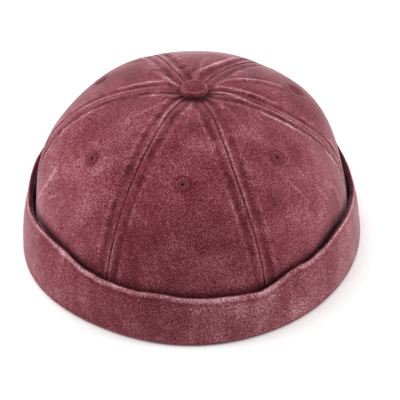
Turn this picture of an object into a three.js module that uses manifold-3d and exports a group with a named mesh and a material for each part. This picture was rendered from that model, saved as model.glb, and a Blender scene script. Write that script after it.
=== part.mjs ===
// A brimless six-panel cap of washed cotton twill with a turned-up cuff, resting on the cuff's fold.
// Millimetres, +Z up. The front of the cap faces -Y and +X is on the viewer's right.
// Azimuths are in degrees, 0 at the front and 90 at +X.
import * as THREE from 'three';
import { mergeVertices } from 'three/addons/utils/BufferGeometryUtils.js';
import Module from 'manifold-3d';

const wasm = await Module();
wasm.setup();

// Crown: the outer face of the cloth
const crownHalfWidth = 90;
const crownHalfDepth = 98;
const crownHeight = 93.5;
const crownRoundness = 2.39; // exponent of the reach: 2 is an ellipse, more is boxier
const crownShoulder = 2.6; // exponent of the rise, likewise
const apexDip = 1.8; // how far the button's stitches pull the apex down
const apexDipRadius = 13;
const sagHeight = 30; // where the cloth leans out over the cuff most, or in from it
const sagReach = 14;
const clothThickness = 1.6;
const sewingGap = 0.3; // between pieces that are sewn to each other

// Panels: each is puffed up between two seams, which are pressed open and stitched down on both sides
const panelPuff = 1;
const puffSink = 0.45; // share of the puff by which the seams lie below the even surface
const seamRollWidth = 1.3;
const seamRollDepth = 0.5;
const allowanceWidth = 5.5; // from the seam to the row of stitches beside it
const allowanceShare = 0.36; // the most of a panel's width that one allowance takes, near the tip
const allowanceRise = 0.35;
const ditchWidth = 1.1;
const ditchDepth = 0.6;
const tipRadius = 3; // the hole that the six tips leave for the button's shank
const tipTurnPower = 8; // how late on its way up a seam turns

// Covered button on the apex
const buttonRadius = 7.6;
const buttonRise = 6.4;
const buttonRim = 1.6;
const buttonWall = 1.9; // height of the upright side between the rounded edges
const shankRadius = 2;
const clinchRadius = 4.2;
const clinchThickness = 0.8;

// Eyelets: rings of thread sewn round a hole in each panel
const eyeletRadius = 3.6;
const eyeletRise = 0.8;
const eyeletHoleRadius = 1;
const eyeletThread = 0.7;

// Cuff: a double band joined to the foot of the crown, folded outwards and turned up
const cuffHeight = 31;
const cuffThickness = 2.6;
const cuffFootStandoff = 6; // from the crown's foot to the outer face of the fold
const cuffLipGap = 4; // from the crown to the inner face at the lip
const cuffBelly = 1.2; // how far the wall bulges between the fold and the lip
const legHeight = 8; // of the inner leg that the panels stand on
const foldThickness = 2;
const lipWaveRise = 1.5;

// Smoothness of the faceted solids
const profileSamples = 240;
const panelRows = 18;
const panelMiddleColumns = 4;
const cuffSegments = 72;
const buttonSegments = 20;
const eyeletSegments = 12;

// How the crown departs from an even one: its reach at the foot as a share, how much fuller it is than
// its profile half-way up, and how far it leans out at sagHeight
const crownShape = [
  { azimuth: 0, spread: 1.01, fullness: 0.005, sag: 1.5 },
  { azimuth: 30, spread: 1, fullness: 0, sag: -0.5 },
  { azimuth: 60, spread: 0.985, fullness: 0, sag: -0.9 },
  { azimuth: 90, spread: 0.985, fullness: -0.03, sag: -0.6 },
  { azimuth: 120, spread: 0.985, fullness: 0.025, sag: -1.4 },
  { azimuth: 150, spread: 1.005, fullness: 0.005, sag: 0 },
  { azimuth: 180, spread: 1, fullness: -0.005, sag: 0 },
  { azimuth: 210, spread: 1.005, fullness: 0.03, sag: 0 },
  { azimuth: 240, spread: 1, fullness: 0.01, sag: 0 },
  { azimuth: 270, spread: 1, fullness: 0.06, sag: -1.5 },
  { azimuth: 300, spread: 1, fullness: -0.02, sag: 1.3 },
  { azimuth: 330, spread: 1.01, fullness: 0, sag: 1.2 },
];

// Sections of the cuff: shares of its height, its foot's stand-off and its lip's gap
const cuffSections = [
  { azimuth: 0, height: 0.95, foot: 1.3, gap: 0.83 },
  { azimuth: 30, height: 0.96, foot: 1.1, gap: 0.7 },
  { azimuth: 60, height: 1.14, foot: 0.98, gap: 0.85 },
  { azimuth: 90, height: 0.92, foot: 0.9, gap: 0.43 },
  { azimuth: 120, height: 1.03, foot: 1.2, gap: 0.3 },
  { azimuth: 150, height: 1.05, foot: 1.2, gap: 1.05 },
  { azimuth: 180, height: 1.03, foot: 1, gap: 1.05 },
  { azimuth: 210, height: 1.01, foot: 0.9, gap: 0.75 },
  { azimuth: 240, height: 0.94, foot: 0.8, gap: 1.1 },
  { azimuth: 270, height: 0.92, foot: 1.2, gap: 0.5 },
  { azimuth: 300, height: 1.06, foot: 1.7, gap: 0.8 },
  { azimuth: 330, height: 1, foot: 1.3, gap: 0.85 },
];

// Waves of the lip: where it rides up or sags, as shares of lipWaveRise
const lipWaves = [
  { azimuth: 20, halfWidth: 6, rise: -1.2 },
  { azimuth: 34, halfWidth: 4.5, rise: 1.4 },
  { azimuth: 51, halfWidth: 8, rise: -0.4 },
  { azimuth: 134, halfWidth: 10, rise: 0.6 },
  { azimuth: 222, halfWidth: 12, rise: -0.6 },
  { azimuth: 282, halfWidth: 9, rise: -2 },
  { azimuth: 315, halfWidth: 9, rise: 0.8 },
  { azimuth: 336, halfWidth: 5, rise: 0.3 },
  { azimuth: 350, halfWidth: 7, rise: 1 },
];

// Panels anticlockwise from the front: the azimuth of the seam where each one starts, how far that seam
// sways and bends on its way up and turns at its tip, then the eyelet's azimuth and how far up it is
const panels = [
  { name: 'front', seam: -29.5, sway: 0, bend: 0, turn: -20, eyeletAt: -5.5, eyeletUp: 0.55 },
  { name: 'front_right', seam: 24, sway: -3.5, bend: 1, turn: 10, eyeletAt: 46.5, eyeletUp: 0.57 },
  { name: 'back_right', seam: 88, sway: -3.5, bend: 4.5, turn: 0, eyeletAt: 114, eyeletUp: 0.55 },
  { name: 'back', seam: 146, sway: 1, bend: 1.5, turn: 8, eyeletAt: 175, eyeletUp: 0.5 },
  { name: 'back_left', seam: 201.5, sway: -1.5, bend: -2, turn: 4, eyeletAt: 236, eyeletUp: 0.55 },
  { name: 'front_left', seam: 263.5, sway: 3, bend: 2.5, turn: -25, eyeletAt: 302.5, eyeletUp: 0.52 },
];

const cotton = new THREE.MeshStandardMaterial({ color: 0x86485a, roughness: 0.95, metalness: 0 });
const thread = new THREE.MeshStandardMaterial({ color: 0x7a3c4a, roughness: 0.85, metalness: 0 });

const radians = THREE.MathUtils.degToRad;
const { lerp, smoothstep } = THREE.MathUtils;
const bell = (distance, halfWidth) => Math.exp(-((distance / halfWidth) ** 2));

// Value of a column of a table whose rows go evenly round the cap, joined by a smooth curve.
function around(rows, column, azimuth) {
  const place = (((azimuth / 360) * rows.length) % rows.length + rows.length) % rows.length;
  const row = Math.floor(place);
  const value = (step) => rows[(row + step + rows.length) % rows.length][column];
  const [before, start, end, after] = [value(-1), value(0), value(1), value(2)];
  const part = place - row;
  const slope = (end - before) / 2;
  const nextSlope = (after - start) / 2;
  return start + part * slope
    + part ** 2 * (3 * (end - start) - 2 * slope - nextSlope)
    + part ** 3 * (2 * (start - end) + slope + nextSlope);
}

// Radius of the crown's outline at its foot.
function outline(azimuth) {
  const across = Math.sin(radians(azimuth)) / crownHalfWidth;
  const along = Math.cos(radians(azimuth)) / crownHalfDepth;
  return around(crownShape, 'spread', azimuth) / Math.hypot(across, along);
}

function atRadius(radius, azimuth, height) {
  const turn = radians(azimuth);
  return new THREE.Vector3(radius * Math.sin(turn), -radius * Math.cos(turn), height);
}

// The crown's profile, by an angle that is 0 at the level of the fold and 90 degrees at the apex.
const crownRise = (angle) => crownHeight * Math.sin(angle) ** (2 / crownShoulder);

function crownRadius(azimuth, angle) {
  const reach = Math.cos(angle) ** (2 / crownRoundness);
  const fuller = 1 + around(crownShape, 'fullness', azimuth) * Math.sin(2 * angle);
  const sag = around(crownShape, 'sag', azimuth) * bell(crownRise(angle) - sagHeight, sagReach);
  return outline(azimuth) * reach * fuller + sag;
}

const angleAtHeight = (height) => Math.asin((height / crownHeight) ** (crownShoulder / 2));
const angleAtRadius = (radius, azimuth) => Math.acos((radius / outline(azimuth)) ** (crownRoundness / 2));

function crownPoint(azimuth, angle) {
  const radius = crownRadius(azimuth, angle);
  return atRadius(radius, azimuth, crownRise(angle) - apexDip * bell(radius, apexDipRadius));
}

function crownNormal(azimuth, angle) {
  const step = 0.002;
  const sideways = crownPoint(azimuth + step, angle).sub(crownPoint(azimuth - step, angle));
  const upwards = crownPoint(azimuth, angle + step).sub(crownPoint(azimuth, angle - step));
  return sideways.cross(upwards).normalize();
}

// The profile's angle at any share of the way from the foot of a panel, 0, to its tip, 1.
function wayUp(azimuth) {
  const first = angleAtHeight(legHeight + sewingGap);
  const last = angleAtRadius(tipRadius, azimuth);
  const angles = [first];
  const lengths = [0];
  for (let i = 1; i <= profileSamples; i += 1) {
    angles.push(lerp(first, last, i / profileSamples));
    const step = crownPoint(azimuth, angles[i]).distanceTo(crownPoint(azimuth, angles[i - 1]));
    lengths.push(lengths[i - 1] + step);
  }
  return (share) => {
    const wanted = share * lengths[profileSamples];
    const i = Math.max(1, lengths.findIndex((length) => length >= wanted - 1e-9));
    return lerp(angles[i - 1], angles[i], (wanted - lengths[i - 1]) / (lengths[i] - lengths[i - 1]));
  };
}

// Azimuth of a panel's starting seam, at a share of the way up.
function seamAzimuth(panel, share) {
  const sway = panel.sway * Math.sin(Math.PI * share);
  const bend = panel.bend * Math.sin(2 * Math.PI * share);
  return panel.seam + sway + bend + panel.turn * share ** tipTurnPower;
}

function neighbourOf(panel) {
  const next = panels[(panels.indexOf(panel) + 1) % panels.length];
  const turns = next.seam < panel.seam ? 360 : 0;
  return { ...next, seam: next.seam + turns };
}

// How much the seam's details narrow where the panel is slim.
const narrowing = (width) => Math.min(1, (allowanceShare * width) / allowanceWidth);

// How far the cloth stands off the crown's even surface, by the distance from the nearest seam.
function relief(distance, width, share) {
  const narrow = narrowing(width);
  const row = allowanceWidth * narrow;
  const roll = -seamRollDepth * bell(distance, seamRollWidth);
  const rampUp = smoothstep(distance, 0, seamRollWidth);
  const rampDown = 1 - smoothstep(distance, row - ditchWidth, row);
  const ridge = allowanceRise * rampUp * rampDown;
  const ditch = -ditchDepth * bell(distance - row, ditchWidth) * narrow;
  const crossways = Math.sin((Math.PI * distance) / width) - puffSink;
  const puff = panelPuff * crossways * Math.sqrt(Math.sin(Math.PI * share));
  return (roll + ridge + ditch) * narrow + puff;
}

// Distances from the seam at which a panel has columns, then evenly across its middle.
function columnDistances(width) {
  const narrow = narrowing(width);
  const row = allowanceWidth * narrow;
  const ditch = ditchWidth * narrow;
  const near = [0, seamRollWidth * narrow, row - ditch, row, row + 2 * ditch];
  const inner = near[near.length - 1];
  const middle = Array.from(
    { length: panelMiddleColumns - 1 },
    (_, i) => lerp(inner, width - inner, (i + 1) / panelMiddleColumns),
  );
  return [...near, ...middle, ...near.map((distance) => width - distance).reverse()];
}

// A closed solid between two grids of points that have the same rows and columns.
function closedShell(outer, inner) {
  const rows = outer.length;
  const columns = outer[0].length;
  const points = [...outer.flat(), ...inner.flat()];
  const out = (row, column) => row * columns + column;
  const into = (row, column) => rows * columns + row * columns + column;
  const faces = [];
  for (let row = 0; row + 1 < rows; row += 1) {
    for (let column = 0; column + 1 < columns; column += 1) {
      const corners = [[row, column], [row, column + 1], [row + 1, column + 1], [row + 1, column]];
      const [a, b, c, d] = corners.map((corner) => out(...corner));
      const [e, f, g, h] = corners.map((corner) => into(...corner));
      faces.push(a, b, c, a, c, d, e, g, f, e, h, g);
    }
  }
  const edge = [];
  for (let column = 0; column + 1 < columns; column += 1) edge.push([0, column]);
  for (let row = 0; row + 1 < rows; row += 1) edge.push([row, columns - 1]);
  for (let column = columns - 1; column > 0; column -= 1) edge.push([rows - 1, column]);
  for (let row = rows - 1; row > 0; row -= 1) edge.push([row, 0]);
  edge.forEach((from, i) => {
    const to = edge[(i + 1) % edge.length];
    faces.push(out(...to), out(...from), into(...from), out(...to), into(...from), into(...to));
  });
  return indexed(points, faces);
}

function indexed(points, faces) {
  const geometry = new THREE.BufferGeometry();
  const numbers = points.flatMap((point) => point.toArray());
  geometry.setAttribute('position', new THREE.Float32BufferAttribute(numbers, 3));
  geometry.setIndex(faces);
  return geometry;
}

function toManifold(geometry) {
  const bare = geometry.clone();
  bare.deleteAttribute('normal');
  bare.deleteAttribute('uv');
  const merged = mergeVertices(bare, 1e-4);
  return new wasm.Manifold(new wasm.Mesh({
    numProp: 3,
    vertProperties: Float32Array.from(merged.attributes.position.array),
    triVerts: Uint32Array.from(merged.index.array),
  }));
}

function fromManifold(solid) {
  const mesh = solid.getMesh();
  const geometry = new THREE.BufferGeometry();
  geometry.setAttribute('position', new THREE.BufferAttribute(mesh.vertProperties, 3));
  geometry.setIndex(Array.from(mesh.triVerts));
  return geometry;
}

// Where a panel's eyelet sits on the cloth, with the direction that it faces.
function eyeletSeat(panel) {
  const { eyeletAt: azimuth, eyeletUp: share } = panel;
  const angle = wayUp(azimuth)(share);
  const start = seamAzimuth(panel, share);
  const end = seamAzimuth(neighbourOf(panel), share);
  const arcAt = (from, to) => radians(to - from) * crownRadius(azimuth, angle);
  const fromSeam = Math.min(arcAt(start, azimuth), arcAt(azimuth, end));
  const facing = crownNormal(azimuth, angle);
  const standOff = relief(fromSeam, arcAt(start, end), share);
  const centre = crownPoint(azimuth, angle).addScaledVector(facing, standOff);
  return { centre, facing };
}

function stoodOn(geometry, seat) {
  const turn = new THREE.Quaternion().setFromUnitVectors(new THREE.Vector3(0, 1, 0), seat.facing);
  return geometry.applyQuaternion(turn).translate(...seat.centre.toArray());
}

function panelGeometry(panel) {
  const next = neighbourOf(panel);
  const outer = [];
  const inner = [];
  const middle = (panel.seam + next.seam) / 2;
  const angleAt = wayUp(middle);
  for (let row = 0; row <= panelRows; row += 1) {
    const share = row / panelRows;
    const angle = angleAt(share);
    const start = seamAzimuth(panel, share);
    const span = seamAzimuth(next, share) - start;
    const radius = crownRadius(middle, angle);
    const width = radians(span) * radius;
    const gapSpan = (span * sewingGap) / width;
    const face = [];
    const back = [];
    columnDistances(width).forEach((distance) => {
      const azimuth = start + gapSpan / 2 + (span - gapSpan) * (distance / width);
      const nearest = Math.min(distance, width - distance);
      const even = crownPoint(azimuth, angle);
      const facing = crownNormal(azimuth, angle);
      face.push(even.clone().addScaledVector(facing, relief(nearest, width, share)));
      back.push(even.addScaledVector(facing, -clothThickness));
    });
    outer.push(face);
    inner.push(back);
  }
  const seat = eyeletSeat(panel);
  const drill = new THREE.CylinderGeometry(
    eyeletHoleRadius + eyeletThread + sewingGap,
    eyeletHoleRadius + eyeletThread + sewingGap,
    clothThickness * 6,
    eyeletSegments,
  );
  return fromManifold(toManifold(closedShell(outer, inner)).subtract(toManifold(stoodOn(drill, seat))));
}

// A ring of thread on the cloth, with a barrel that lines the hole through it.
function eyeletGeometry(panel) {
  const barrel = eyeletHoleRadius + eyeletThread;
  const back = -(clothThickness + panelPuff);
  const section = [
    [eyeletHoleRadius, back],
    [barrel, back],
    [barrel, sewingGap],
    [eyeletRadius, sewingGap],
    [eyeletRadius - 0.2 * eyeletRise, sewingGap + 0.7 * eyeletRise],
    [lerp(barrel, eyeletRadius, 0.5), sewingGap + eyeletRise],
    [barrel, sewingGap + 0.8 * eyeletRise],
    [eyeletHoleRadius, sewingGap + 0.3 * eyeletRise],
    [eyeletHoleRadius, back],
  ].map(([radius, height]) => new THREE.Vector2(radius, height));
  return stoodOn(new THREE.LatheGeometry(section, eyeletSegments), eyeletSeat(panel));
}

// A domed cap over the tips of the panels, on a shank that is clinched behind the cloth.
function buttonGeometry() {
  const seat = sewingGap + apexDip * (1 - bell(buttonRadius, apexDipRadius));
  const behind = -(clothThickness + sewingGap);
  const arc = (middle, low, radius, from, to, steps) => Array.from({ length: steps + 1 }, (_, i) => {
    const turn = lerp(from, to, i / steps);
    return [middle + radius * Math.cos(turn), low + radius * Math.sin(turn)];
  });
  const quarter = Math.PI / 2;
  const upperEdge = seat + buttonRim + buttonWall;
  const shoulder = buttonRadius - buttonRim;
  const dome = Array.from({ length: 4 }, (_, i) => {
    const reach = 1 - (i + 1) / 4;
    return [shoulder * reach, lerp(upperEdge + buttonRim, buttonRise, Math.sqrt(1 - reach ** 2))];
  });
  const section = [
    [0, behind - clinchThickness],
    [clinchRadius, behind - clinchThickness],
    [clinchRadius, behind],
    [shankRadius, behind],
    [shankRadius, seat],
    ...arc(shoulder, seat + buttonRim, buttonRim, -quarter, 0, 3),
    ...arc(shoulder, upperEdge, buttonRim, 0, quarter, 3),
    ...dome,
  ].map(([radius, height]) => new THREE.Vector2(radius, height));
  const lathe = new THREE.LatheGeometry(section, buttonSegments);
  const centre = new THREE.Vector3(0, 0, crownHeight - apexDip);
  const apex = { facing: new THREE.Vector3(0, 0, 1), centre };
  return stoodOn(lathe, apex);
}

function lipWave(azimuth) {
  return lipWaves.reduce((sum, wave) => {
    const away = ((azimuth - wave.azimuth + 540) % 360) - 180;
    return sum + wave.rise * lipWaveRise * bell(away, wave.halfWidth);
  }, 0);
}

// One section of the cuff as radii and heights, anticlockwise from the top of the inner leg.
function cuffSection(azimuth) {
  const foot = outline(azimuth);
  const height = cuffHeight * around(cuffSections, 'height', azimuth) + lipWave(azimuth);
  const outerFoot = foot + Math.max(
    cuffFootStandoff * around(cuffSections, 'foot', azimuth),
    cuffThickness + sewingGap,
  );
  const crownAtLip = crownRadius(azimuth, angleAtHeight(height));
  const lip = crownAtLip + cuffLipGap * around(cuffSections, 'gap', azimuth) + cuffThickness;
  const wall = (share) => lerp(outerFoot, lip, share) + cuffBelly * Math.sin(Math.PI * share);
  const fold = foldThickness;
  const half = cuffThickness / 2;
  const face = [0.12, 0.3, 0.5, 0.7, 0.86].map((share) => [wall(share), height * share]);
  const back = [0.86, 0.6, 0.3].map((share) => [wall(share) - cuffThickness, height * share]);
  return [
    [foot - clothThickness, legHeight],
    [foot - clothThickness, fold],
    [foot - clothThickness + 0.3 * fold, 0.3 * fold],
    [foot - clothThickness + fold, 0],
    [outerFoot - fold, 0],
    [outerFoot - 0.3 * fold, 0.3 * fold],
    ...face,
    [lip, height - half],
    [lip - 0.3 * half, height - 0.3 * half],
    [lip - half, height],
    [lip - 1.7 * half, height - 0.3 * half],
    [lip - cuffThickness, height - half],
    ...back,
    [outerFoot - cuffThickness, fold],
    [foot, fold],
    [foot, legHeight],
  ];
}

function cuffGeometry() {
  const sections = Array.from({ length: cuffSegments }, (_, i) => {
    const azimuth = (360 * i) / cuffSegments;
    return cuffSection(azimuth).map(([radius, height]) => atRadius(radius, azimuth, height));
  });
  const size = sections[0].length;
  const faces = [];
  sections.forEach((_, i) => {
    const here = i * size;
    const there = ((i + 1) % cuffSegments) * size;
    for (let k = 0; k < size; k += 1) {
      const next = (k + 1) % size;
      faces.push(here + k, there + k, there + next, here + k, there + next, here + next);
    }
  });
  return indexed(sections.flat(), faces);
}

function piece(name, geometry, material) {
  const mesh = new THREE.Mesh(geometry, material);
  mesh.name = name;
  return mesh;
}

const cap = new THREE.Group();
for (const panel of panels) {
  cap.add(piece(`panel_${panel.name}`, panelGeometry(panel), cotton));
  cap.add(piece(`eyelet_${panel.name}`, eyeletGeometry(panel), thread));
}
cap.add(piece('top_button', buttonGeometry(), cotton));
cap.add(piece('cuff', cuffGeometry(), cotton));

// The origin lies on the floor, under the middle of the whole cap.
const middle = new THREE.Box3().setFromObject(cap).getCenter(new THREE.Vector3());
cap.position.set(-middle.x, -middle.y, 0);

export default cap;
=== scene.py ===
# %% [markdown]
# # A washed cotton docker cap
#
# This lesson dresses a brimless cap: six crown panels sewn edge to edge, a covered button on top, one
# stitched eyelet in each panel, and a cuff that is folded outwards and turned up.
#
# The solids of the cap are already made, at their real size. They come in first and stay where they are.
# Cloth needs far more detail than they hold, so each solid is replaced by a finer mesh in the same place.

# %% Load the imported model
import math
from itertools import product

import bpy
import numpy as np
from mathutils import Matrix, Vector


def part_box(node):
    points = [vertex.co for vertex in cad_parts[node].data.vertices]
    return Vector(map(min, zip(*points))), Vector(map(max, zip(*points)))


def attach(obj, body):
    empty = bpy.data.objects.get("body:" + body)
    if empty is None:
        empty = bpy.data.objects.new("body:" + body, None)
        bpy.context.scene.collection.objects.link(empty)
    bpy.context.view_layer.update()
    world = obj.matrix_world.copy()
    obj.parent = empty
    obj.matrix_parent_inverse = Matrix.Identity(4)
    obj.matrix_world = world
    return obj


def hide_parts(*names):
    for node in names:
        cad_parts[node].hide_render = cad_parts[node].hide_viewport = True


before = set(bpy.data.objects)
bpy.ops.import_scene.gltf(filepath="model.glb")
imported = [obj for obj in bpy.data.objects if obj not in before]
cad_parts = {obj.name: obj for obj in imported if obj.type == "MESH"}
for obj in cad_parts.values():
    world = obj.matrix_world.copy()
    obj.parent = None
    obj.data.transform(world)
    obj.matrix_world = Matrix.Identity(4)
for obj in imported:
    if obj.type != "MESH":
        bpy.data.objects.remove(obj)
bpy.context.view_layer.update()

MM = 0.001  # the meshes are worked out in millimetres, and Blender's unit is the metre
button_low, button_high = (np.array(corner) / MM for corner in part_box("top_button"))
crown_axis = np.array([(button_low[0] + button_high[0]) / 2, (button_low[1] + button_high[1]) / 2, 0])
print("crown's axis, mm:", crown_axis.round(2))

# %% [markdown]
# ## Camera
#
# The camera looks down at the front of the cap from a metre and a half away. A long lens at that distance
# keeps the far side of the cuff nearly as wide as the near side. A short lens close by would give the same
# framing, but it would swell the front.

# %% Camera
VIEW_DISTANCE = 1500
VIEW_ELEVATION = 36
VIEW_ROLL = -0.35
LENS = 238.5
AIM = np.array([2.9, 0, 20])  # from the foot of the crown's axis


def camera_turn():
    tilt = Matrix.Rotation(math.radians(90 - VIEW_ELEVATION), 4, "X")
    return tilt @ Matrix.Rotation(math.radians(VIEW_ROLL), 4, "Z")


camera_data = bpy.data.cameras.new("camera")
camera_data.lens = LENS
camera_data.sensor_width = 36
camera_data.clip_end = 20
camera = bpy.data.objects.new("camera", camera_data)
turn = camera_turn()
camera.matrix_world = Matrix.Translation(
    Vector((crown_axis + AIM) * MM) + turn @ Vector((0, 0, VIEW_DISTANCE * MM))
) @ turn
bpy.context.scene.collection.objects.link(camera)
bpy.context.scene.camera = camera
print("camera at", [round(value, 3) for value in camera.location])

# %% [markdown]
# ## Floor and light
#
# Cloth shows its folds under soft light that is a little stronger from one side. Three large area lights
# do that here: one overhead and behind, one at each side. The pale floor and the pale sky send light back
# into the underside of the cuff. A sun lamp would be quicker to set up, but its shadows are too hard.

# %% Floor, sky and lights
SKY_STRENGTH = 0.6
FLOOR_REACH = 8  # metres from the floor's middle to each side
# place in metres, size in metres, power in watts
LIGHTS = {
    "overhead": ((-0.2, 0.2, 1.5), 1.6, 12),
    "left": ((-1.45, 0.05, 0.65), 1.0, 20),
    "right": ((1.45, 0.0, 0.6), 1.0, 18),
}


def pale_floor():
    mesh = bpy.data.meshes.new("floor")
    corners = [(x * FLOOR_REACH, y * FLOOR_REACH, 0) for x, y in ((-1, -1), (1, -1), (1, 1), (-1, 1))]
    mesh.from_pydata(corners, [], [(0, 1, 2, 3)])
    floor = bpy.data.objects.new("floor", mesh)
    paint = bpy.data.materials.new("floor_paint")
    paint.use_nodes = True
    shader = paint.node_tree.nodes["Principled BSDF"]
    shader.inputs["Base Color"].default_value = (0.92, 0.92, 0.92, 1)
    shader.inputs["Roughness"].default_value = 0.9
    shader.inputs["Specular IOR Level"].default_value = 0.1
    mesh.materials.append(paint)
    bpy.context.scene.collection.objects.link(floor)


def area_light(name, place, size, power):
    data = bpy.data.lights.new(name, "AREA")
    data.shape = "DISK"
    data.size = size
    data.energy = power
    lamp = bpy.data.objects.new(name, data)
    lamp.location = place
    lamp.rotation_euler = (-Vector(place)).to_track_quat("-Z", "Y").to_euler()
    bpy.context.scene.collection.objects.link(lamp)


pale_floor()
for name, (place, size, power) in LIGHTS.items():
    area_light(name, place, size, power)
sky = bpy.data.worlds.new("sky")
sky.use_nodes = True
sky.node_tree.nodes["Background"].inputs["Color"].default_value = (1, 1, 1, 1)
sky.node_tree.nodes["Background"].inputs["Strength"].default_value = SKY_STRENGTH
bpy.context.scene.world = sky
bpy.context.scene.view_settings.view_transform = "Standard"
print("lights:", ", ".join(LIGHTS))

# %% [markdown]
# ## Shader maths that reads as Python
#
# A finish is a graph of nodes. Written out node by node it is hard to follow, so a small class wraps a
# socket, and its operators add the Math nodes: `0.5 + 0.3 * fade` makes two of them. Every other node
# comes from one method, `node`, which sets the node up and fills its sockets.

# %% Field and Finish
class Field:
    """An output socket of a material, with operators that add Math nodes."""

    def __init__(self, finish, made, output):
        self.finish, self.made = finish, made
        self.socket = made.outputs[output]

    def __getitem__(self, output):
        return Field(self.finish, self.made, output)

    def maths(self, operation, *values):
        return self.finish.node("ShaderNodeMath", {"operation": operation}, dict(enumerate(values)))

    def __add__(self, other):
        return self.maths("ADD", self, other)

    def __radd__(self, other):
        return self.maths("ADD", other, self)

    def __sub__(self, other):
        return self.maths("SUBTRACT", self, other)

    def __rsub__(self, other):
        return self.maths("SUBTRACT", other, self)

    def __mul__(self, other):
        return self.maths("MULTIPLY", self, other)

    def __rmul__(self, other):
        return self.maths("MULTIPLY", other, self)

    def sine(self):
        return self.maths("SINE", self)

    def floor(self):
        return self.maths("FLOOR", self)

    def above(self, level):
        return self.maths("MAXIMUM", self - level, 0)


class Finish:
    """A material whose constants are set on its Principled shader's own sockets."""

    def __init__(self, name, constants):
        self.material = bpy.data.materials.new(name)
        self.material.use_nodes = True
        self.tree = self.material.node_tree
        self.shader = self.tree.nodes["Principled BSDF"]
        for socket, value in constants.items():
            self.shader.inputs[socket].default_value = value

    def node(self, kind, settings=None, inputs=None, output=0):
        made = self.tree.nodes.new(kind)
        for setting, value in (settings or {}).items():
            if setting == "stops":
                self.set_stops(made.color_ramp.elements, value)
            else:
                setattr(made, setting, value)
        for socket, value in (inputs or {}).items():
            self.feed(made.inputs[socket], value)
        return Field(self, made, output)

    def feed(self, socket, value):
        if isinstance(value, Field):
            self.tree.links.new(value.socket, socket)
        else:
            socket.default_value = value

    def mix_painted_shade(self, factor, colour):
        """Mixes in painted shade: a second shader, dull and without sheen, in the given colour, where the
        factor goes up to 1.
        """
        dull = self.node("ShaderNodeBsdfPrincipled", inputs={
            "Base Color": colour,
            "Roughness": 1.0,
            "Specular IOR Level": 0.0,
        })
        mixed = self.node("ShaderNodeMixShader", inputs={0: factor, 1: Field(self, self.shader, 0), 2: dull})
        self.feed(self.tree.nodes["Material Output"].inputs["Surface"], mixed)

    def set_stops(self, elements, stops):
        while len(elements) < len(stops):
            elements.new(1)
        for element, (place, colour) in zip(elements, stops):
            element.position = place
            element.color = colour


def srgb(red, green, blue):
    """A colour as a screen shows it, 0 to 255, turned into the linear values that a shader works in."""
    shares = [value / 255 for value in (red, green, blue)]
    linear = [share / 12.92 if share <= 0.04045 else ((share + 0.055) / 1.055) ** 2.4 for share in shares]
    return (*linear, 1)


print("mid burgundy:", [round(value, 3) for value in srgb(130, 65, 80)])

# %% [markdown]
# ## The washed twill
#
# Twill is a weave of slanting ribs. Washing rubs the dye off whatever stands proud, such as seams and
# edges, and leaves it dark in the ditches. So each mesh carries two values for the shader: `cloth`, the
# place on the flat cloth in millimetres, and a value for wear, which is above zero where the cloth was
# rubbed and below zero where it kept its dye, and which also holds painted light and painted shade. One
# ramp turns the sum of that value, fading and flecks into a colour. A picture of real cloth would be the
# other way, but it stretches where a panel narrows.
#
# Cloth has a nap, and a Sheen makes it glow at a glancing angle. Behind the cuff's lip hardly any light
# gets in, and the glow would look like fog. So where the value goes far below zero, a second shader
# without sheen takes over from the first and paints the shade there dark.

# %% Twill and thread
# painted shade: the colour behind the cuff's lip and on the cuff's inside, where hardly any light gets in
PAINTED_SHADE_COLOUR = srgb(36, 10, 14)
DYE_RICH = srgb(52, 9, 20)
DYE_DEEP = srgb(80, 23, 33)
DYE_MID = srgb(105, 39, 49)
DYE_WORN = srgb(146, 88, 98)
DYE_BARE = srgb(202, 168, 172)
NAP_TINT = srgb(235, 205, 214)
WEAR_AND_LIGHT_SHARE = 0.42  # how far wear and painted light and shade move the colour along the ramp
PAINTED_SHADE_START = -0.65  # the value below which the painted shade starts to take over
PAINTED_SHADE_FULL = -0.95  # the value at which the painted shade has fully taken over
RIB_SLANT = math.radians(55)  # the ribs of the weave rise to the right
RIB_PITCH = 1.1  # from one rib to the next
FLOAT_LENGTH = 0.5  # how far a yarn shows before it dives
TWIST_PITCH = 0.5  # from one twist of the sewing thread to the next


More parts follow.
